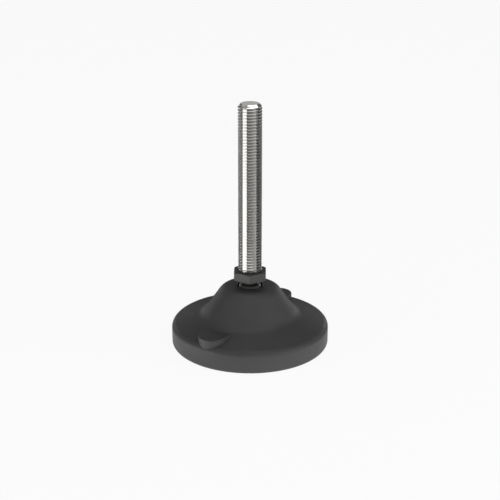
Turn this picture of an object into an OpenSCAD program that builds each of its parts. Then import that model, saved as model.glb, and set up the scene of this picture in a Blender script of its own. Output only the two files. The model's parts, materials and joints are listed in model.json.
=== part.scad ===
// Articulated levelling foot: a moulded round base whose hub holds a ball,
// and a threaded stud that stands on the ball, tilts with it and turns with it.
// Millimetres, +Z up, origin at the centre of the underside. The fixing lugs lie close to the X axis.

/* [Base] */
// Diameter of the round base
base_d = 80; // [74:1:100]
// Height of the outer wall, up to the line of the sloping top
wall_h = 11; // [9:0.5:14]
// Radius of the round along the bottom edge
foot_edge_r = 1.8; // [0.6:0.1:2.4]
// Radius of the round along the top edge of the wall
rim_edge_r = 3; // [1:0.1:4]
// Slope of the ring between the wall and the hub, in degrees
slope_angle = 18; // [12:1:22]
// Thickness of the outer wall
skirt_wall = 4; // [3:0.25:6]
// Thickness of the moulded top
roof_wall = 3; // [2:0.25:4]

/* [Hub] */
// Height of the hub's mouth above the floor
hub_h = 31; // [29:0.5:36]
// Diameter where the hub's flank runs into the slope
hub_d = 47.8; // [44:0.1:54]
// Diameter where the hub's flank runs into its flat top
hub_top_d = 27.6; // [26:0.1:30]
// Radius of the flare at the hub's foot
flare_r = 8; // [5:0.5:14]
// Radius of the round at the hub's shoulder
shoulder_r = 7; // [4:0.5:7.5]

/* [Fixing lugs] */
// Width of a lug, which is also the diameter of its round end
lug_w = 14.4; // [11:0.2:16]
// Distance of the lug's round end inside the edge of the base
lug_inset = 0.5; // [0.3:0.1:3]
// Turn of each lug from the X axis towards +Y, in degrees
lug_swing = 3.25; // [0:0.25:10]
// Depth of the lug's flat top below the foot of the hub's flare
lug_drop = 0.3; // [0.2:0.1:1.5]
// Radius of the round along the lug's top edge
lug_edge_r = 0.6; // [0.2:0.1:1]
// Diameter of the bolt hole under the lug
lug_hole_d = 8.5; // [5:0.5:9]
// Wall of the boss around the bolt hole
lug_hole_wall = 2.4; // [2:0.1:3]
// Thickness of the skin that closes the bolt hole until it is drilled
lug_skin = 1.8; // [1:0.1:2.5]

/* [Underside ribs] */
// Number of radial ribs
rib_count = 16; // [12:1:24]
// Thickness of the ribs and of the ring that crosses them
rib_t = 2.2; // [1.5:0.1:3]
// Height of the ribs' lower edges above the floor
rib_recess = 0.8; // [0.4:0.1:2]
// Wall of the boss around the thrust plug
boss_wall = 3.2; // [2.5:0.1:4]

/* [Ball joint] */
// Diameter of the ball
ball_d = 15; // [14:0.25:16]
// Depth of the ball's centre below the hub's mouth
ball_sink = 5.3; // [4.6:0.1:5.6]
// Diameter of the hub's mouth, smaller than the ball so that it stays in
mouth_d = 12.7; // [12:0.1:13.4]
// Chamfer of the mouth
mouth_chamfer = 0.4; // [0.2:0.1:0.8]
// Diameter of the neck between the ball and the hexagon
neck_d = 8; // [7:0.25:9]
// Clearance between the ball and the socket above it
socket_gap = 0.15; // [0.1:0.05:0.3]
// Clearance between the ball and its seat in the thrust plug
seat_gap = 0.1; // [0.05:0.05:0.3]

/* [Thrust plug] */
// Amount by which the plug's radius is larger than the ball's
plug_margin = 0.6; // [0.5:0.1:1.5]
// Running clearance between the plug and its bore
plug_gap = 0.08; // [0.05:0.01:0.1]
// Depth of the plug's seat edge below the ball's centre
seat_drop = 2.5; // [1.5:0.25:4]
// Height of the plug's lower end above the floor
plug_recess = 0.5; // [0.3:0.1:1.5]
// Wall of the plug, around and above its hollow
plug_wall = 3; // [2:0.25:4]
// Height of the snap bead that holds the plug in its bore
bead_z = 6; // [4:0.5:10]
// Radius of the snap bead's section
bead_r = 0.8; // [0.5:0.1:1]
// Amount by which the snap bead stands out of the plug
bead_proud = 0.4; // [0.2:0.1:0.5]

/* [Hexagon] */
// Width across the flats
hex_af = 16; // [15:0.5:19]
// Height of the hexagon
hex_h = 4.5; // [4:0.1:8]
// Height of the hexagon's underside above the hub's mouth
hex_lift = 3.7; // [3.2:0.1:6]
// Diameter of the flat circle left by the chamfer on top
hex_face_d = 15.6; // [13:0.2:16]
// Angle of the chamfer on the hexagon's corners, in degrees
hex_chamfer_angle = 20; // [15:5:40]
// Turn of the hexagon about the stud, in degrees
hex_turn = 30; // [0:5:55]

/* [Stud] */
// Outside diameter of the thread
stud_d = 12; // [8:1:14]
// Length of the stud above the hexagon
stud_len = 85.5; // [40:0.5:150]
// Chamfer at the stud's free end
stud_chamfer = 1.5; // [0.5:0.1:2.5]
// Diameter of the turned spigot inside the hexagon and the ball
spigot_d = 5; // [4:0.25:5.5]
// Depth of the spigot's end below the hexagon's underside
spigot_depth = 9; // [6:0.5:11]
// Clearance of the bonded joint between the spigot and the ball
bond_gap = 0.05; // [0.02:0.01:0.1]

/* [Hidden] */
$fn = 96;
// Overlap that carries a cut clear past a face
past = 1;
// Depth of the flare's cut past its tangent, so that it meets the slope and the flank in one edge each
bite = 0.001;
base_colour = "#2b2b2b";
plug_colour = "#3a3a3a";
hex_colour = "#3d3c3a";
stud_colour = "#c9c7c2";

// Base and hub outline
base_r = base_d / 2;
hub_r = hub_d / 2;
hub_top_r = hub_top_d / 2;
hub_foot_z = wall_h + (base_r - hub_r) * tan(slope_angle);
hub_angle = atan2(hub_h - hub_foot_z, hub_r - hub_top_r);
flare_foot_z = hub_foot_z - flare_r * tan((hub_angle - slope_angle) / 2) * sin(slope_angle);

// Inside of the moulding, parallel to its top
skirt_inner_r = base_r - skirt_wall;
flank_offset = roof_wall / sin(hub_angle);
slope_offset = roof_wall / cos(slope_angle);
inner_foot_r = hub_r - roof_wall * sin((hub_angle + slope_angle) / 2) / cos((hub_angle - slope_angle) / 2);
hollow_top = hub_h - 2 * roof_wall;

// Ball, plug and stud
ball_r = ball_d / 2;
ball_z = hub_h - ball_sink;
plug_r = ball_r + plug_margin;
bore_r = plug_r + plug_gap;
boss_r = bore_r + boss_wall;
hex_z = hub_h + hex_lift;
stud_z = hex_z + hex_h;
stud_top = stud_z + stud_len;

// Lugs
lug_r = lug_w / 2;
lug_end_r = base_r - lug_inset;
lug_centre_r = lug_end_r - lug_r;
lug_top = flare_foot_z - lug_drop;
lug_low = wall_h - rim_edge_r;
ring_r = (boss_r + skirt_inner_r) / 2;

function unit(v) = v / norm(v);

// Height of the slope's inner face at radius r
function roof_z(r) = wall_h + (base_r - r) * tan(slope_angle) - slope_offset;

// Radius of the hub flank's inner face at height z
function flank_r(z) = hub_r - flank_offset - (z - hub_foot_z) / tan(hub_angle);

// Half the angle at the corner p between its neighbours a and b
function half_angle(p, a, b) = acos(unit(a - p) * unit(b - p)) / 2;

// Centre of a round of radius r at the corner p
function round_centre(p, a, b, r) = p + unit(unit(a - p) + unit(b - p)) * r / sin(half_angle(p, a, b));

// End of that round on the side from p towards a
function round_end(p, a, b, r) = p + unit(a - p) * r / tan(half_angle(p, a, b));

// Half section of the moulding's outside: corners cut back to their rounds' ends, then the rounds
module base_outline() {
    foot = [base_r, 0];
    rim = [base_r, wall_h];
    flare = [hub_r, hub_foot_z];
    shoulder = [hub_top_r, hub_h];
    axis_foot = [0, 0];
    axis_top = [0, hub_h];
    difference() {
        union() {
            polygon([
                axis_foot,
                round_end(foot, axis_foot, rim, foot_edge_r),
                round_end(foot, rim, axis_foot, foot_edge_r),
                round_end(rim, foot, flare, rim_edge_r),
                round_end(rim, flare, foot, rim_edge_r),
                round_end(flare, rim, shoulder, flare_r),
                round_end(flare, shoulder, rim, flare_r),
                round_end(shoulder, flare, axis_top, shoulder_r),
                round_end(shoulder, axis_top, flare, shoulder_r),
                axis_top
            ]);
            translate(round_centre(foot, axis_foot, rim, foot_edge_r)) circle(foot_edge_r);
            translate(round_centre(rim, foot, flare, rim_edge_r)) circle(rim_edge_r);
            translate(round_centre(shoulder, flare, axis_top, shoulder_r)) circle(shoulder_r);
        }
        translate(round_centre(flare, rim, shoulder, flare_r)) circle(flare_r + bite);
    }
}

// Half section of the hollow under the moulding, from the boss to the skirt
module hollow_outline() {
    polygon([
        [boss_r, -past],
        [skirt_inner_r, -past],
        [skirt_inner_r, roof_z(skirt_inner_r)],
        [inner_foot_r, roof_z(inner_foot_r)],
        [flank_r(hollow_top), hollow_top],
        [boss_r, hollow_top]
    ]);
}

// Radial ribs and the ring that crosses them
module ribs() {
    for (i = [0 : rib_count - 1])
        rotate([0, 0, (i + 0.5) * 360 / rib_count])
            translate([0, -rib_t / 2, rib_recess])
                cube([base_r - foot_edge_r, rib_t, hub_h]);
    translate([0, 0, rib_recess])
        rotate_extrude()
            translate([ring_r - rib_t / 2, 0]) square([rib_t, hub_h]);
}

// Places what belongs to one lug on both sides of the base
module both_sides() {
    for (side = [0, 1])
        mirror([side, 0, 0]) rotate([0, 0, lug_swing]) children();
}

// Cells of the underside: the hollow, less the ribs and the bosses under the lugs
module cells() {
    difference() {
        rotate_extrude() hollow_outline();
        ribs();
        both_sides()
            translate([lug_centre_r, 0, rib_recess])
                cylinder(r = lug_hole_d / 2 + lug_hole_wall, h = hub_h);
    }
}

// Half section of a lug, with a rounded top edge
module lug_outline() {
    height = lug_top - lug_low;
    inner = lug_r - lug_edge_r;
    shelf = height - lug_edge_r;
    polygon([[0, 0], [lug_r, 0], [lug_r, shelf], [inner, height], [0, height]]);
    translate([inner, shelf]) circle(lug_edge_r);
}

// Flat-topped lug that runs out of the hub's flare to a round end
module lug() {
    translate([lug_centre_r, 0, lug_low]) rotate_extrude() lug_outline();
    translate([hub_r, 0, lug_low])
        rotate([90, 0, 90])
            linear_extrude(lug_centre_r - hub_r) {
                lug_outline();
                mirror([1, 0]) lug_outline();
            }
}

// Bore for the plug, spherical roof over the ball, and the mouth
module socket() {
    mouth_r = mouth_d / 2;
    translate([0, 0, -past]) cylinder(r = bore_r, h = ball_z + past);
    rotate_extrude() translate([bore_r - bead_r + bead_proud, bead_z]) circle(bead_r);
    translate([0, 0, ball_z]) sphere(ball_r + socket_gap);
    translate([0, 0, ball_z]) cylinder(r = mouth_r, h = ball_sink + past);
    translate([0, 0, hub_h - mouth_chamfer])
        cylinder(r1 = mouth_r, r2 = mouth_r + mouth_chamfer + past, h = mouth_chamfer + past);
}

// One moulding: wall, slope, flared hub, lugs and the ribbed underside
module foot_base() {
    color(base_colour)
        difference() {
            union() {
                rotate_extrude() base_outline();
                both_sides() lug();
            }
            cells();
            socket();
            both_sides()
                translate([lug_centre_r, 0, -past])
                    cylinder(d = lug_hole_d, h = lug_top - lug_skin + past);
        }
}

// Bearing that closes the bore under the ball and turns with it
module thrust_plug() {
    seat_edge = ball_z - seat_drop;
    seat_floor = ball_z - ball_r - seat_gap;
    color(plug_colour)
        difference() {
            union() {
                translate([0, 0, plug_recess]) cylinder(r = plug_r, h = seat_edge - plug_recess);
                rotate_extrude() translate([plug_r - bead_r + bead_proud, bead_z]) circle(bead_r - plug_gap);
            }
            translate([0, 0, ball_z]) sphere(ball_r + seat_gap);
            cylinder(r = plug_r - plug_wall, h = seat_floor - plug_wall);
        }
}

// Ball, neck and hexagon in one piece, bored for the stud's spigot
module ball_hex() {
    corner_r = hex_af / 2 / cos(30);
    face_r = hex_face_d / 2;
    drop = (corner_r + past - face_r) * tan(hex_chamfer_angle);
    color(hex_colour)
        difference() {
            union() {
                translate([0, 0, ball_z]) sphere(ball_r);
                translate([0, 0, ball_z]) cylinder(d = neck_d, h = hex_z + hex_h / 2 - ball_z);
                translate([0, 0, hex_z])
                    intersection() {
                        rotate([0, 0, hex_turn]) cylinder(r = corner_r, h = hex_h, $fn = 6);
                        rotate_extrude()
                            polygon([
                                [0, 0],
                                [corner_r + past, 0],
                                [corner_r + past, hex_h - drop],
                                [face_r, hex_h],
                                [0, hex_h]
                            ]);
                    }
            }
            translate([0, 0, hex_z - spigot_depth - bond_gap])
                cylinder(d = spigot_d + 2 * bond_gap, h = hex_h + spigot_depth + bond_gap + past);
        }
}

// Stainless stud with a chamfered free end and a turned spigot below
module threaded_stud() {
    stud_r = stud_d / 2;
    color(stud_colour)
        rotate_extrude()
            polygon([
                [0, hex_z - spigot_depth],
                [spigot_d / 2, hex_z - spigot_depth],
                [spigot_d / 2, stud_z],
                [stud_r, stud_z],
                [stud_r, stud_top - stud_chamfer],
                [stud_r - stud_chamfer, stud_top],
                [0, stud_top]
            ]);
}

foot_base();
thrust_plug();
ball_hex();
threaded_stud();
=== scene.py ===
import json
import math

import bmesh
import bpy
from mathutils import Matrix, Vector


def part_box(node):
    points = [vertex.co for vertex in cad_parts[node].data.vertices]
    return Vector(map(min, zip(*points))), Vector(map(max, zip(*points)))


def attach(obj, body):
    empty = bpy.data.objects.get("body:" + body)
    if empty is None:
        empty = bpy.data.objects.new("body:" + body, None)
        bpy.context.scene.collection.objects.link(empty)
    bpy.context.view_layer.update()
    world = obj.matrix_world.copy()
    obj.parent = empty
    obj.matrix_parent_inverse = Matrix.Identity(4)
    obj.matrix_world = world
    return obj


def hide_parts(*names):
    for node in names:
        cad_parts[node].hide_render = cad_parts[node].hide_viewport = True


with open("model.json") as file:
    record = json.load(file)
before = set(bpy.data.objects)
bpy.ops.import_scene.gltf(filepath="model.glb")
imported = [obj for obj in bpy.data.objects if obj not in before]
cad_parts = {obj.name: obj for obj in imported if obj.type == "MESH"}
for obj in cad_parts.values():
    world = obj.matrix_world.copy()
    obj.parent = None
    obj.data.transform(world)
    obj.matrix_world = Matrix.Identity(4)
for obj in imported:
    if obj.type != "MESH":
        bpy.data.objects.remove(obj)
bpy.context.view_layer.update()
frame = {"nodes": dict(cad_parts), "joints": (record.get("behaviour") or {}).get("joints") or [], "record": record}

MM = 0.001
scene = bpy.context.scene

# Sizes of the foot, in metres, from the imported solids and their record
stud_low, stud_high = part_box("threaded_stud")
hex_low, hex_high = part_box("ball_hex")
stud_mount = next(m for m in frame["record"]["mounts"] if m["name"] == "stud")
tilt_joint = next(j for j in frame["joints"] if j["name"] == "ball_tilt")
thread_r = stud_mount["dims"]["r_mm"] * MM
thread_len = stud_mount["dims"]["length_mm"] * MM
thread_start = stud_mount["pos_m"][2] - thread_len / 2
stud_top = stud_high.z
end_chamfer = stud_top - thread_start - thread_len
ball_z = tilt_joint["pos_m"][2]
ball_r = ball_z - hex_low.z
hex_top = hex_high.z

# Sizes that neither the solids' boxes nor the record give
thread_pitch = 1.5 * MM
spigot_r = 2.5 * MM
bond_gap = 0.05 * MM
bore_r = spigot_r + bond_gap
bore_floor = stud_low.z - bond_gap
neck_r = 4 * MM
hex_h = 4.5 * MM
hex_underside = hex_top - hex_h
hex_af = 16 * MM
hex_face_r = 7.8 * MM
hex_turn = math.radians(30)
hex_chamfer = math.radians(20)


def added(name, data):
    """Object in the scene that holds this data."""
    made = bpy.data.objects.new(name, data)
    scene.collection.objects.link(made)
    return made


# Node helpers
MIX_SOCKETS = {"FLOAT": (2, 3, 0), "RGBA": (6, 7, 2)}


def set_or_link(tree, socket, value):
    """Links an output to a socket, or writes a plain value on it."""
    if isinstance(value, bpy.types.NodeSocket):
        tree.links.new(value, socket)
    else:
        socket.default_value = value


def placed_node(tree, kind, **values):
    """Node of one kind, with the named inputs filled."""
    made = tree.nodes.new(kind)
    for name, value in values.items():
        set_or_link(tree, made.inputs[name.replace("_", " ")], value)
    return made


def in_order(tree, kind, operation, values):
    """Node of one kind and operation, with its inputs filled in order."""
    made = tree.nodes.new(kind)
    made.operation = operation
    for socket, value in zip(made.inputs, values):
        set_or_link(tree, socket, value)
    return made


def sum_node(tree, operation, *values):
    """Result of a math node."""
    return in_order(tree, "ShaderNodeMath", operation, values).outputs[0]


def vector_node(tree, operation, *values):
    """Result of a vector math node, a number for a dot product or a length."""
    made = in_order(tree, "ShaderNodeVectorMath", operation, values)
    return made.outputs["Value" if operation in ("DOT_PRODUCT", "LENGTH") else "Vector"]


def map_range(tree, value, source, target):
    """Value carried from one span to another."""
    made = placed_node(
        tree, "ShaderNodeMapRange", Value=value,
        From_Min=source[0], From_Max=source[1], To_Min=target[0], To_Max=target[1],
    )
    return made.outputs["Result"]


def mixed(tree, share, low, high, kind="RGBA"):
    """Colour or number between two, by a share from 0 to 1."""
    low_socket, high_socket, result = MIX_SOCKETS[kind]
    mix = tree.nodes.new("ShaderNodeMix")
    mix.data_type = kind
    tree.links.new(share, mix.inputs["Factor"])
    set_or_link(tree, mix.inputs[low_socket], low)
    set_or_link(tree, mix.inputs[high_socket], high)
    return mix.outputs[result]


def noise(tree, place, scale, detail, roughness=0.5):
    """Value of a noise texture at a place."""
    made = placed_node(
        tree, "ShaderNodeTexNoise", Vector=place, Scale=scale, Detail=detail, Roughness=roughness
    )
    return made.outputs["Fac"]


def object_place(tree):
    """Place on the object, in metres."""
    return tree.nodes.new("ShaderNodeTexCoord").outputs["Object"]


def group_with(name, kind, inputs, outputs):
    """Empty node group with named sockets, and its input and output nodes."""
    tree = bpy.data.node_groups.new(name, kind)
    for label, default in inputs:
        socket = tree.interface.new_socket(label, in_out="INPUT", socket_type="NodeSocketFloat")
        socket.default_value = default
    for label, socket_type in outputs:
        tree.interface.new_socket(label, in_out="OUTPUT", socket_type=socket_type)
    return tree, tree.nodes.new("NodeGroupInput"), tree.nodes.new("NodeGroupOutput")


# Span of a noise texture's values that a gloss is spread over
NOISE_SPAN = (0.3, 0.7)

# Moulded plastic: scales per metre, and how much each part of its grain counts
BASE_GRAIN = 3200.0
MOTTLE_SCALE = 90.0
MOTTLE_ROUGHNESS = 0.6
PIT_SCALE_SHARE = 0.55
PIT_WEIGHT = 0.5
SPECK_SCALE = 1500.0
SPECK_SPAN = (0.70, 0.80)
SPECK_TINT = 0.12
GLOSS_SPREAD = 0.04
GRAIN_STRENGTH = 0.6

# Rolled steel: fine marks, drawn out round the stud by a small share of the angle
STEEL_LOW = (0.78, 0.77, 0.75)
STEEL_HIGH = (0.85, 0.84, 0.82)
STEEL_GLOSS = (0.07, 0.15)
STEEL_MOTTLE_SCALE = 260.0
MARK_STRETCH = 0.0012
MARK_SCALE = 5200.0
MARK_DEPTH = 0.000012
MARK_STRENGTH = 0.5


def moulded_grain_group():
    """Fine spark-eroded grain of a moulding tool, a broad faint mottle, and specks."""
    effects = ("Grain", "Mottle", "Specks")
    tree, given, out = group_with(
        "moulded grain",
        "ShaderNodeTree",
        [("Grain Scale", BASE_GRAIN), ("Mottle Scale", MOTTLE_SCALE)],
        [(label, "NodeSocketFloat") for label in effects],
    )
    place = object_place(tree)
    grain_scale = given.outputs["Grain Scale"]
    fine = noise(tree, place, grain_scale, 3.0)
    pit_scale = sum_node(tree, "MULTIPLY", grain_scale, PIT_SCALE_SHARE)
    pits = placed_node(tree, "ShaderNodeTexVoronoi", Vector=place, Scale=pit_scale)
    pits.feature = "SMOOTH_F1"
    grain = sum_node(tree, "MULTIPLY_ADD", pits.outputs["Distance"], PIT_WEIGHT, fine)
    mottle = noise(tree, place, given.outputs["Mottle Scale"], 4.0, MOTTLE_ROUGHNESS)
    specks = map_range(tree, noise(tree, place, SPECK_SCALE, 1.0), SPECK_SPAN, (0.0, 1.0))
    for label, effect in zip(effects, (grain, mottle, specks)):
        tree.links.new(effect, out.inputs[label])
    return tree


moulded_grain = moulded_grain_group()


def new_material(name):
    """Material with a Principled shader, its tree and the shader."""
    made = bpy.data.materials.new(name)
    made.use_nodes = True
    tree = made.node_tree
    return made, tree, tree.nodes["Principled BSDF"]


def add_bump(tree, shader, height, depth, strength):
    """Fine relief in a shader's normal."""
    bump = placed_node(tree, "ShaderNodeBump", Height=height, Distance=depth, Strength=strength)
    tree.links.new(bump.outputs["Normal"], shader.inputs["Normal"])


def moulded_plastic(name, low, high, rough, grain_scale, grain_depth, specular):
    """Matte moulded plastic: mottled colour, uneven gloss and a fine tool grain."""
    made, tree, shader = new_material(name)
    group = tree.nodes.new("ShaderNodeGroup")
    group.node_tree = moulded_grain
    group.inputs["Grain Scale"].default_value = grain_scale
    effect = group.outputs
    shade = sum_node(tree, "MULTIPLY_ADD", effect["Specks"], SPECK_TINT, effect["Mottle"])
    tree.links.new(mixed(tree, shade, (*low, 1), (*high, 1)), shader.inputs["Base Color"])
    gloss = map_range(tree, effect["Mottle"], NOISE_SPAN, (rough - GLOSS_SPREAD, rough + GLOSS_SPREAD))
    tree.links.new(gloss, shader.inputs["Roughness"])
    shader.inputs["Specular IOR Level"].default_value = specular
    add_bump(tree, shader, effect["Grain"], grain_depth, GRAIN_STRENGTH)
    return made


def polish_and_painted_shade_below(made, height, colour, rough):
    """Gives the part of a plastic below a height another colour and gloss, under the same grain. Used for the
    ball's own polished finish and for painted shade on the neck.
    """
    tree = made.node_tree
    shader = tree.nodes["Principled BSDF"]
    up = placed_node(tree, "ShaderNodeSeparateXYZ", Vector=object_place(tree)).outputs["Z"]
    above = sum_node(tree, "GREATER_THAN", up, height)
    for name, below, kind in (("Base Color", (*colour, 1), "RGBA"), ("Roughness", rough, "FLOAT")):
        socket = shader.inputs[name]
        matte = socket.links[0].from_socket
        tree.links.new(mixed(tree, above, below, matte, kind), socket)


def rolled_steel(name):
    """Bright stainless steel with fine marks that run round the stud, as the rolling dies leave them."""
    made, tree, shader = new_material(name)
    place = object_place(tree)
    split = placed_node(tree, "ShaderNodeSeparateXYZ", Vector=place).outputs
    angle = sum_node(tree, "ARCTAN2", split["Y"], split["X"])
    turned = sum_node(tree, "MULTIPLY", angle, MARK_STRETCH)
    reach = vector_node(tree, "LENGTH", vector_node(tree, "MULTIPLY", place, (1, 1, 0)))
    unrolled = placed_node(tree, "ShaderNodeCombineXYZ", X=turned, Y=reach, Z=split["Z"])
    marks = noise(tree, unrolled.outputs["Vector"], MARK_SCALE, 3.0)
    broad = noise(tree, place, STEEL_MOTTLE_SCALE, 3.0)
    tree.links.new(mixed(tree, broad, (*STEEL_LOW, 1), (*STEEL_HIGH, 1)), shader.inputs["Base Color"])
    shader.inputs["Metallic"].default_value = 1.0
    tree.links.new(map_range(tree, marks, NOISE_SPAN, STEEL_GLOSS), shader.inputs["Roughness"])
    add_bump(tree, shader, marks, MARK_DEPTH, MARK_STRENGTH)
    return made


# Finishes
base_finish = moulded_plastic(
    "black moulded polyamide",
    low=(0.026, 0.026, 0.0265),
    high=(0.035, 0.035, 0.0355),
    rough=0.52,
    grain_scale=BASE_GRAIN,
    grain_depth=0.00004,
    specular=0.6,
)
plug_finish = moulded_plastic(
    "smooth dark acetal",
    low=(0.05, 0.05, 0.05),
    high=(0.062, 0.062, 0.061),
    rough=0.42,
    grain_scale=6000.0,
    grain_depth=0.00001,
    specular=0.4,
)
hex_finish = moulded_plastic(
    "dark grey polyamide",
    low=(0.033, 0.0322, 0.0306),
    high=(0.042, 0.041, 0.039),
    rough=0.48,
    grain_scale=4200.0,
    grain_depth=0.00002,
    specular=0.5,
)
# Painted shade: from just above the hub's mouth up to the hexagon's underside, the neck and the top of the ball
# are painted near black. This stands in for the hexagon's shadow and its reflection in the ball. Below that, the
# ball has its own polished grey.
painted_neck_shade_top = hex_underside - 0.1 * MM
ball_below = ball_z + 5.8 * MM
polish_and_painted_shade_below(hex_finish, painted_neck_shade_top, colour=(0.006, 0.006, 0.006), rough=0.4)
polish_and_painted_shade_below(hex_finish, ball_below, colour=(0.036, 0.036, 0.0355), rough=0.28)
stud_finish = rolled_steel("bright rolled stainless steel")


def finish_node(node, finish):
    """Gives a carried-over solid its finish in every slot."""
    mesh = frame["nodes"][node].data
    if not mesh.materials:
        mesh.materials.append(finish)
    for i in range(len(mesh.materials)):
        mesh.materials[i] = finish


finish_node("foot_base", base_finish)
finish_node("thrust_plug", plug_finish)

# Thread profile, in shares of the pitch: half the crest's flat, a flank, half the round root and the depths
CREST_HALF = 1 / 16
FLANK_WIDTH = 5 / 16
FLANK_SLOPE = math.sqrt(3)
ROOT_HALF = 1 / 8
ROOT_SCOOP = 0.072
ROOT_DEPTH = 0.6134

# Winding: radius gained per height where the thread starts, steps, and turns beyond the stud's length
RUN_IN = 2.0
PROFILE_STEPS = 16
TURN_STEPS = 72
SPARE_TURNS = 2
SEAM_WITHIN = 2e-6
MERGE_WITHIN = 1e-6
THREAD_CREASE = math.radians(70)
LEVEL_UP = 0.999
RIM_SLACK = 1e-5


# Threaded stud
def stud_tree():
    """Strip that winds up the stud, one thread profile wide, with its ends and its spigot closed."""
    turns = math.ceil((stud_top - thread_start) / thread_pitch) + SPARE_TURNS
    sizes = [
        ("Crest Radius", thread_r), ("Pitch", thread_pitch), ("Start", thread_start), ("Top", stud_top),
        ("End Chamfer", end_chamfer), ("Spigot Radius", spigot_r), ("Spigot End", stud_low.z),
        ("Turns", turns), ("Steps", TURN_STEPS),
    ]
    tree, given, out = group_with(
        "threaded stud", "GeometryNodeTree", sizes, [("Geometry", "NodeSocketGeometry")]
    )
    size = given.outputs

    def calc(operation, *values):
        """Result of a math node in this tree."""
        return sum_node(tree, operation, *values)

    def turned(reach, step, height):
        """Point at a reach and a height, turned round the axis by a number of steps."""
        angle = calc("DIVIDE", calc("MULTIPLY", step, math.tau), size["Steps"])
        x = calc("MULTIPLY", reach, calc("COSINE", angle))
        y = calc("MULTIPLY", reach, calc("SINE", angle))
        return placed_node(tree, "ShaderNodeCombineXYZ", X=x, Y=y, Z=height).outputs["Vector"]

    def sheet(columns, rows, place):
        """Unit grid with its points moved to a place."""
        grid = placed_node(
            tree, "GeometryNodeMeshGrid", Size_X=1.0, Size_Y=1.0, Vertices_X=columns, Vertices_Y=rows
        )
        moved = placed_node(tree, "GeometryNodeSetPosition", Geometry=grid.outputs["Mesh"], Position=place)
        return moved.outputs["Geometry"]

    def end_disc(radius, height):
        """Flat end across the axis at a height."""
        disc = placed_node(tree, "GeometryNodeMeshCircle", Vertices=size["Steps"], Radius=radius)
        disc.fill_type = "TRIANGLE_FAN"
        lift = placed_node(tree, "ShaderNodeCombineXYZ", Z=height).outputs["Vector"]
        raised = placed_node(tree, "GeometryNodeSetPosition", Geometry=disc.outputs["Mesh"], Offset=lift)
        return raised.outputs["Geometry"]

    # Shares across and along the unit grid
    position = tree.nodes.new("GeometryNodeInputPosition").outputs["Position"]
    spot = placed_node(tree, "ShaderNodeSeparateXYZ", Vector=position).outputs
    across = calc("ADD", spot["X"], 0.5)
    along = calc("ADD", spot["Y"], 0.5)

    # Height of each point on the winding, held between the start and the top
    steps_in_all = calc("MULTIPLY", size["Turns"], size["Steps"])
    step = calc("ROUND", calc("MULTIPLY", across, steps_in_all))
    slot = calc("ROUND", calc("MULTIPLY", along, float(PROFILE_STEPS)))
    part = calc("DIVIDE", slot, float(PROFILE_STEPS))
    rise = calc("ADD", calc("DIVIDE", step, size["Steps"]), calc("SUBTRACT", part, 1.0))
    free_height = calc("MULTIPLY_ADD", rise, size["Pitch"], size["Start"])
    height = calc("MINIMUM", calc("MAXIMUM", free_height, size["Start"]), size["Top"])

    # Thread: crest flat, two flanks at 30 degrees and a round root
    off_crest = calc("ABSOLUTE", calc("SUBTRACT", part, 0.5))
    past_crest = calc("MAXIMUM", calc("SUBTRACT", off_crest, CREST_HALF), 0.0)
    flank = calc("MINIMUM", past_crest, FLANK_WIDTH)
    off_root = calc("DIVIDE", calc("SUBTRACT", 0.5, off_crest), ROOT_HALF)
    to_root = calc("MINIMUM", off_root, 1.0)
    scoop = calc("SUBTRACT", 1.0, calc("MULTIPLY", to_root, to_root))
    depth = calc("MULTIPLY_ADD", flank, FLANK_SLOPE, calc("MULTIPLY", scoop, ROOT_SCOOP))
    thread = calc("SUBTRACT", size["Crest Radius"], calc("MULTIPLY", depth, size["Pitch"]))

    # Ends: a chamfer at the top and a run-in at the start
    root = calc("SUBTRACT", size["Crest Radius"], calc("MULTIPLY", size["Pitch"], ROOT_DEPTH))
    flat = calc("SUBTRACT", size["Crest Radius"], size["End Chamfer"])
    top_limit = calc("ADD", flat, calc("SUBTRACT", size["Top"], height))
    low_limit = calc("MULTIPLY_ADD", calc("SUBTRACT", height, size["Start"]), RUN_IN, root)
    reach = calc("MINIMUM", thread, calc("MINIMUM", top_limit, low_limit))
    turn_step = calc("MODULO", step, size["Steps"])
    columns = calc("ADD", steps_in_all, 1.0)
    winding = sheet(columns, PROFILE_STEPS + 1, turned(reach, turn_step, height))

    # Underside and spigot
    ring_step = calc("ROUND", calc("MULTIPLY", across, size["Steps"]))
    inward = calc("MINIMUM", calc("MULTIPLY", along, 2.0), 1.0)
    downward = calc("MAXIMUM", calc("MULTIPLY_ADD", along, 2.0, -1.0), 0.0)
    spigot_reach = calc("MULTIPLY_ADD", inward, calc("SUBTRACT", size["Spigot Radius"], root), root)
    spigot_drop = calc("SUBTRACT", size["Spigot End"], size["Start"])
    spigot_height = calc("MULTIPLY_ADD", downward, spigot_drop, size["Start"])
    ring_turn = calc("MODULO", ring_step, size["Steps"])
    ring_columns = calc("ADD", size["Steps"], 1.0)
    spigot = sheet(ring_columns, 3, turned(spigot_reach, ring_turn, spigot_height))

    joined = tree.nodes.new("GeometryNodeJoinGeometry")
    ends = (end_disc(flat, size["Top"]), end_disc(size["Spigot Radius"], size["Spigot End"]))
    for piece in (winding, spigot, *ends):
        tree.links.new(piece, joined.inputs["Geometry"])
    closed = placed_node(
        tree, "GeometryNodeMergeByDistance", Geometry=joined.outputs["Geometry"], Distance=SEAM_WITHIN
    )
    real = placed_node(tree, "GeometryNodeRealizeInstances", Geometry=closed.outputs["Geometry"])
    dressed = placed_node(
        tree, "GeometryNodeSetMaterial", Geometry=real.outputs["Geometry"], Material=stud_finish
    )
    tree.links.new(dressed.outputs["Geometry"], out.inputs["Geometry"])
    return tree


def grown_piece(name, tree):
    """Runs a geometry tree and keeps its result as a plain mesh."""
    piece = added(name, bpy.data.meshes.new(name))
    grow = piece.modifiers.new("grow", "NODES")
    grow.node_group = tree
    evaluated = piece.evaluated_get(bpy.context.evaluated_depsgraph_get())
    mesh = bpy.data.meshes.new_from_object(evaluated)
    piece.modifiers.remove(grow)
    piece.data = mesh
    mesh.name = name
    return piece


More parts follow.
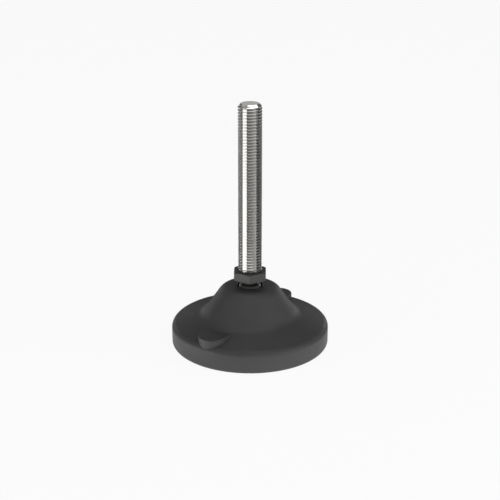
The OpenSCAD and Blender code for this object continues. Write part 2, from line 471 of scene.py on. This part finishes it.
def faces_outward(mesh):
    """Merges doubles and turns every face outward."""
    work = bmesh.new()
    work.from_mesh(mesh)
    bmesh.ops.remove_doubles(work, verts=work.verts, dist=MERGE_WITHIN)
    bmesh.ops.recalc_face_normals(work, faces=work.faces)
    work.to_mesh(mesh)
    work.free()


def smooth_but(mesh, angle):
    """Smooth shading, with edges sharper than the angle kept crisp."""
    mesh.polygons.foreach_set("use_smooth", [True] * len(mesh.polygons))
    mesh.set_sharp_from_angle(angle=angle)


def crisp_rim(mesh, radius):
    """Keeps the edge round a level top crisp."""
    rim = {key for face in mesh.polygons if face.normal.z > LEVEL_UP for key in face.edge_keys}
    for edge in mesh.edges:
        reach = min(mesh.vertices[i].co.xy.length for i in edge.vertices)
        if tuple(sorted(edge.vertices)) in rim and reach > radius - RIM_SLACK:
            edge.use_edge_sharp = True


thread_piece = grown_piece("stud_thread", stud_tree())
faces_outward(thread_piece.data)
smooth_but(thread_piece.data, THREAD_CREASE)
crisp_rim(thread_piece.data, thread_r - end_chamfer)
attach(thread_piece, "stud")
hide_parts("threaded_stud")

# Hexagon's loft: rounds, insets of the rings on its top, and steps
SIXTH = math.radians(60)
HALF_SIXTH = math.radians(30)
CORNER_ROUND = 0.35 * MM
NECK_FILLET = 0.5 * MM
EDGE_ROUND = 0.25 * MM
FACE_INSET = 0.15 * MM
SEAT_INSET = 1.2 * MM
LOFT_STEPS = 240
BALL_ROWS = 40
FILLET_ROWS = 6
EDGE_ROWS = 4
CHAMFER_ROWS = 18
HEXAGON_CREASE = math.radians(22)


# Ball, neck and hexagon
def hexagon_reach(angle):
    """Distance from the axis to the hexagon's side, with rounded corners."""
    off_flat = (angle - hex_turn) % SIXTH - HALF_SIXTH
    flat = hex_af / 2
    centre = flat - CORNER_ROUND
    tangent_at = math.atan2(centre * math.tan(HALF_SIXTH), flat)
    if abs(off_flat) <= tangent_at:
        return flat / math.cos(off_flat)
    apex = centre / math.cos(HALF_SIXTH)
    side = HALF_SIXTH - abs(off_flat)
    swing = math.asin(min(1.0, apex * math.sin(side) / CORNER_ROUND))
    return apex * math.cos(side) + CORNER_ROUND * math.cos(swing)


def quarter_turn(steps):
    """Angles of a quarter turn in equal steps."""
    return [math.radians(90) * i / steps for i in range(steps + 1)]


def hexagon_rows():
    """Profile from the ball's lowest point to the floor of the bore: reach, height, and hexagon or not."""
    rows = []
    neck_at = math.acos(math.sqrt(ball_r ** 2 - neck_r ** 2) / ball_r)
    for i in range(1, BALL_ROWS + 1):
        polar = math.pi - (math.pi - neck_at) * i / BALL_ROWS
        rows.append((ball_r * math.sin(polar), ball_z + ball_r * math.cos(polar), False))
    for a in quarter_turn(FILLET_ROWS):
        height = hex_underside - NECK_FILLET * (1 - math.sin(a))
        rows.append((neck_r + NECK_FILLET * (1 - math.cos(a)), height, False))
    for a in quarter_turn(EDGE_ROWS):
        height = hex_underside + EDGE_ROUND * (1 - math.cos(a))
        rows.append((EDGE_ROUND * (math.sin(a) - 1), height, True))
    corner_r = hex_af / 2 / math.cos(HALF_SIXTH)
    chamfer_low = hex_top - (corner_r - hex_face_r) * math.tan(hex_chamfer)
    rows.append((0.0, (hex_underside + EDGE_ROUND + chamfer_low) / 2, True))
    for i in range(CHAMFER_ROWS + 1):
        rows.append((0.0, chamfer_low + (hex_top - chamfer_low) * i / CHAMFER_ROWS, True))
    for reach in (hex_face_r - FACE_INSET, thread_r - SEAT_INSET, bore_r):
        rows.append((reach, hex_top, False))
    rows.append((bore_r, bore_floor, False))
    return rows


def hexagon_mesh(name):
    """Loft of the profile round the axis, drawn in to the hexagon and its chamfer where it has them."""
    work = bmesh.new()
    pole = work.verts.new((0, 0, ball_z - ball_r))
    rings = []
    for reach, height, is_hexagon in hexagon_rows():
        ring = []
        cone = hex_face_r + (hex_top - height) / math.tan(hex_chamfer)
        for k in range(LOFT_STEPS):
            angle = math.tau * k / LOFT_STEPS
            r = min(hexagon_reach(angle) + reach, cone) if is_hexagon else reach
            ring.append(work.verts.new((r * math.cos(angle), r * math.sin(angle), height)))
        rings.append(ring)
    for k in range(LOFT_STEPS):
        work.faces.new((pole, rings[0][(k + 1) % LOFT_STEPS], rings[0][k]))
    for low, high in zip(rings, rings[1:]):
        for k in range(LOFT_STEPS):
            n = (k + 1) % LOFT_STEPS
            work.faces.new((low[k], low[n], high[n], high[k]))
    work.faces.new(rings[-1])
    mesh = bpy.data.meshes.new(name)
    work.to_mesh(mesh)
    work.free()
    return mesh


hexagon_piece = added("hexagon_and_ball", hexagon_mesh("hexagon_and_ball"))
hexagon_piece.data.materials.append(hex_finish)
faces_outward(hexagon_piece.data)
smooth_but(hexagon_piece.data, HEXAGON_CREASE)
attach(hexagon_piece, "stud")
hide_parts("ball_hex")


def way_out(azimuth, rise):
    """Unit vector away from the part, by azimuth and rise."""
    level = math.cos(rise)
    return Vector((math.cos(azimuth) * level, math.sin(azimuth) * level, math.sin(rise)))


def facing_back(way):
    """Turn of a camera or a lamp that looks back along the way out to it."""
    return (-way).to_track_quat("-Z", "Y").to_euler()


# Camera, at the photograph's viewing angle
view_angle = math.radians(-148.95)
view_rise = math.radians(20.05)
view_distance = 0.5706
view_aim = Vector((0, 0, 0.0497))
toward = way_out(view_angle, view_rise)
camera = added("camera", bpy.data.cameras.new("camera"))
camera.location = view_aim + toward * view_distance
camera.rotation_euler = facing_back(toward)
camera.data.sensor_width = 36
camera.data.lens = 81.8
camera.data.clip_start = 0.01
camera.data.clip_end = 50
scene.camera = camera

# Studio: strength of the white behind the part, of the sky that lights it, and of the floor's own glow
BACKGROUND = 0.956
SKY_LOW = 0.60
SKY_HIGH = 0.17
FLOOR_HALF = 6.0
FLOOR_TONE = 0.9
FLOOR_GLOW = 0.994
FLOOR_GLOW_SHARE = 0.93

# Tent round the part, which only reflections see: grey tones by azimuth from the camera's side in degrees
TENT_R = 0.36
TENT_WALL_H = 0.45
TENT_LIGHT = 3.5
STRIPS_R = 0.068
FLOOR_GAP = 0.0005
SHEET_STEPS = 96
FLOOR_STRIPS = [
    (-180, 0.02), (-150, 0.02), (-140, 0.035), (-118, 0.05), (-92, 0.05), (-83, 0.7), (-42, 0.7), (-35, 0.035),
    (0, 0.058), (40, 0.1), (70, 0.185), (77, 0.0), (118, 0.0), (140, 0.035), (150, 0.02), (180, 0.02),
]
FOOT_STRIPS = [
    (-180, 0.015), (-164, 0.015), (-156, 0.72), (-140, 0.72), (-128, 0.03), (40, 0.03),
    (60, 0.012), (128, 0.012), (138, 0.84), (154, 0.84), (164, 0.015), (180, 0.015),
]
UPPER_STRIPS = [
    (-180, 0.075), (-150, 0.035), (-45, 0.03), (0, 0.05), (60, 0.1), (105, 0.1),
    (120, 0.03), (150, 0.035), (180, 0.075),
]
ROOF_STRIPS = [
    (-180, 0.04), (-165, 0.05), (-140, 0.06), (-125, 0.13), (-50, 0.13), (-40, 0.04), (180, 0.04),
]

# Height at which each set of strips starts, and half the height over which it blends in
TENT_ZONES = [(0.0, FLOOR_STRIPS), (0.030, FOOT_STRIPS), (0.080, UPPER_STRIPS), (0.360, ROOF_STRIPS)]
ZONE_BLEND = 0.004

# Cards inside the tent: name, rows of reach and height, arc from the camera's side in degrees, and tone
END_CARD_R = TENT_R - 0.002
TOP_CARD_Z = 0.165
CARDS = [
    ("end_card", [(END_CARD_R, 0.17), (END_CARD_R, 0.245)], (168, 192), 0.12),
    ("top_card", [(0.002, TOP_CARD_Z), (0.045, TOP_CARD_Z)], (-45, 109), 0.5),
]

# Softboxes: name, azimuth from the camera's side and rise in degrees, distance, width, height and power
LAMP_AIM = Vector((0, 0, 0.04))
SOFTBOXES = [
    ("left softbox", -60, 5, 0.8, 0.6, 0.2, 3.05),
    ("front softbox", 5, 5, 0.9, 0.6, 0.2, 4.6),
    ("right softbox", 60, 5, 0.8, 0.6, 0.2, 4.5),
    ("upper right softbox", 75, 45, 0.9, 0.4, 0.4, 1.0),
]


def plain_view(tree):
    """1 for rays that see the background itself: from the camera, in a reflection or through glass."""
    rays = tree.nodes.new("ShaderNodeLightPath").outputs
    seen = sum_node(tree, "MAXIMUM", rays["Is Camera Ray"], rays["Is Glossy Ray"])
    return sum_node(tree, "MAXIMUM", seen, rays["Is Transmission Ray"])


def studio_world():
    """White behind the part, and for its light a sky that is brighter near the horizon than overhead."""
    world = bpy.data.worlds.new("studio")
    scene.world = world
    world.use_nodes = True
    tree = world.node_tree
    back = tree.nodes["Background"]
    way = tree.nodes.new("ShaderNodeTexCoord").outputs["Generated"]
    up = placed_node(tree, "ShaderNodeSeparateXYZ", Vector=way).outputs["Z"]
    sky = map_range(tree, up, (0.0, 1.0), (SKY_LOW, SKY_HIGH))
    light = mixed(tree, plain_view(tree), sky, BACKGROUND, "FLOAT")
    tree.links.new(light, back.inputs["Strength"])
    back.inputs["Color"].default_value = (1, 1, 1, 1)


def studio_floor():
    """Pale matte floor that the camera and reflections see nearly as bright as the background."""
    mesh = bpy.data.meshes.new("floor")
    corners = [(-1, -1), (1, -1), (1, 1), (-1, 1)]
    mesh.from_pydata([(x * FLOOR_HALF, y * FLOOR_HALF, 0) for x, y in corners], [], [(0, 1, 2, 3)])
    floor = added("floor", mesh)
    made, tree, shader = new_material("pale floor")
    shader.inputs["Base Color"].default_value = (FLOOR_TONE, FLOOR_TONE, FLOOR_TONE, 1)
    shader.inputs["Roughness"].default_value = 1.0
    shader.inputs["Specular IOR Level"].default_value = 0.0
    glow = placed_node(tree, "ShaderNodeEmission", Strength=FLOOR_GLOW)
    share = sum_node(tree, "MULTIPLY", plain_view(tree), FLOOR_GLOW_SHARE)
    mix = placed_node(tree, "ShaderNodeMixShader", Fac=share)
    tree.links.new(shader.outputs["BSDF"], mix.inputs[1])
    tree.links.new(glow.outputs["Emission"], mix.inputs[2])
    tree.links.new(mix.outputs["Shader"], tree.nodes["Material Output"].inputs["Surface"])
    mesh.materials.append(made)


def stepped_ramp(tree, share, stops):
    """Grey levels along a share from 0 to 1."""
    ramp = tree.nodes.new("ShaderNodeValToRGB")
    tree.links.new(share, ramp.inputs["Fac"])
    bars = ramp.color_ramp.elements
    while len(bars) < len(stops):
        bars.new(0.5)
    for bar, (place, tone) in zip(bars, stops):
        bar.position = place
        bar.color = (tone, tone, tone, 1)
    return ramp.outputs["Color"]


def tent_tones(tree):
    """Strips by azimuth, in zones by height."""
    place = object_place(tree)
    sideways = vector_node(tree, "DOT_PRODUCT", place, (-math.sin(view_angle), math.cos(view_angle), 0))
    forward = vector_node(tree, "DOT_PRODUCT", place, (math.cos(view_angle), math.sin(view_angle), 0))
    around = sum_node(tree, "ARCTAN2", sideways, forward)
    azimuth = sum_node(tree, "MULTIPLY_ADD", around, 1 / math.tau, 0.5)
    height = placed_node(tree, "ShaderNodeSeparateXYZ", Vector=place).outputs["Z"]
    tones = None
    for start, strips in TENT_ZONES:
        zone = stepped_ramp(tree, azimuth, [((a + 180) / 360, tone) for a, tone in strips])
        if tones is None:
            tones = zone
            continue
        share = map_range(tree, height, (start - ZONE_BLEND, start + ZONE_BLEND), (0.0, 1.0))
        tones = mixed(tree, share, tones, zone)
    return tones


def glow_only(name, rows, arc, tones_of):
    """Sheet of revolution round the part that only reflections see, lit in the tones that it is given."""
    start, end = (view_angle + math.radians(a) for a in arc)
    angles = [start + (end - start) * k / SHEET_STEPS for k in range(SHEET_STEPS + 1)]
    work = bmesh.new()
    rings = []
    for reach, height in rows:
        rings.append([work.verts.new((reach * math.cos(a), reach * math.sin(a), height)) for a in angles])
    for low, high in zip(rings, rings[1:]):
        for k in range(SHEET_STEPS):
            work.faces.new((low[k], high[k], high[k + 1], low[k + 1]))
    mesh = bpy.data.meshes.new(name)
    work.to_mesh(mesh)
    work.free()
    sheet = added(name, mesh)
    made, tree, _ = new_material(name)
    glow = placed_node(tree, "ShaderNodeEmission", Strength=TENT_LIGHT, Color=tones_of(tree))
    tree.links.new(glow.outputs["Emission"], tree.nodes["Material Output"].inputs["Surface"])
    mesh.materials.append(made)
    sheet.visible_camera = False
    sheet.visible_diffuse = False
    sheet.visible_shadow = False
    sheet.visible_transmission = False


def studio_tent():
    """Strips on the floor round the part, a wall and a roof beyond them, and the cards."""
    rows = [(STRIPS_R, FLOOR_GAP), (TENT_R, FLOOR_GAP), (TENT_R, TENT_WALL_H)]
    for rise in range(10, 100, 10):
        up = math.radians(rise)
        rows.append((max(TENT_R * math.cos(up), FLOOR_GAP), TENT_WALL_H + TENT_R * math.sin(up)))
    glow_only("studio_tent", rows, (-180, 180), tent_tones)
    for name, card_rows, arc, tone in CARDS:
        glow_only(name, card_rows, arc, lambda tree: (tone, tone, tone, 1))


def softbox(name, azimuth, rise, distance, width, height, power):
    """Large soft lamp that neither the camera nor reflections see."""
    lamp = added(name, bpy.data.lights.new(name, "AREA"))
    lamp.data.shape = "RECTANGLE"
    lamp.data.size = width
    lamp.data.size_y = height
    lamp.data.energy = power
    away = way_out(view_angle + math.radians(azimuth), math.radians(rise))
    lamp.location = LAMP_AIM + away * distance
    lamp.rotation_euler = facing_back(away)
    lamp.visible_camera = False
    lamp.visible_glossy = False


studio_world()
studio_floor()
studio_tent()
for settings in SOFTBOXES:
    softbox(*settings)

scene.view_settings.view_transform = "Standard"
